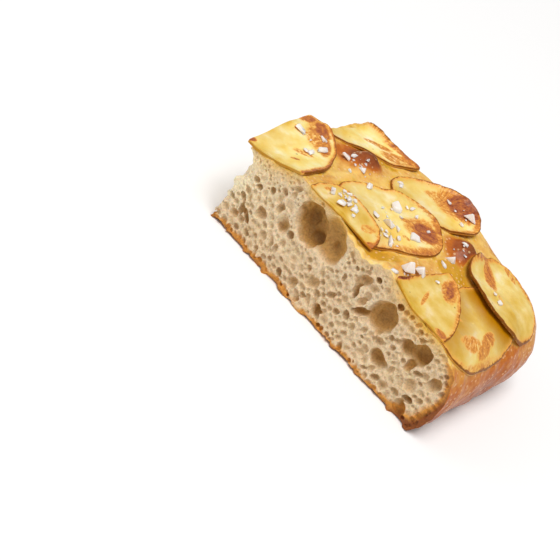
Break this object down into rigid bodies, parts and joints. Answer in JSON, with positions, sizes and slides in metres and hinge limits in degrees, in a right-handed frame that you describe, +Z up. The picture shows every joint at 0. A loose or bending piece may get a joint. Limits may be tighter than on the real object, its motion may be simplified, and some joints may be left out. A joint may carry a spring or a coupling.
{
  "type": "potato focaccia",
  "caption": "Corner piece of a tray-baked flatbread, with two knife-cut faces of open crumb, a rounded baked crust and overlapping slices of roast potato on top.",
  "frame": {"origin": "centre of the base, on the surface that the bread rests on", "axes": "+X along the longer cut face towards the baked right side, +Y from that cut face towards the baked back, +Z up"},
  "size_m": [0.1455, 0.1, 0.0548],
  "materials": {
    "crumb_and_crust": "pale open wheat crumb inside a thin golden brown baked crust",
    "roast_potato": "oiled golden roast potato with toasted patches and a dark thin skin",
    "sea_salt": "coarse translucent salt flakes"
  },
  "bodies": {
    "root": {"bread": "crumb_and_crust", "potato_slice_edge_right": "roast_potato", "potato_slice_back": "roast_potato", "potato_slice_middle": "roast_potato", "potato_slice_front_middle": "roast_potato", "potato_slice_left": "roast_potato", "potato_slice_front_left": "roast_potato", "potato_slice_front_right": "roast_potato", "potato_slice_edge_back": "roast_potato"}
  },
  "joints": []
}
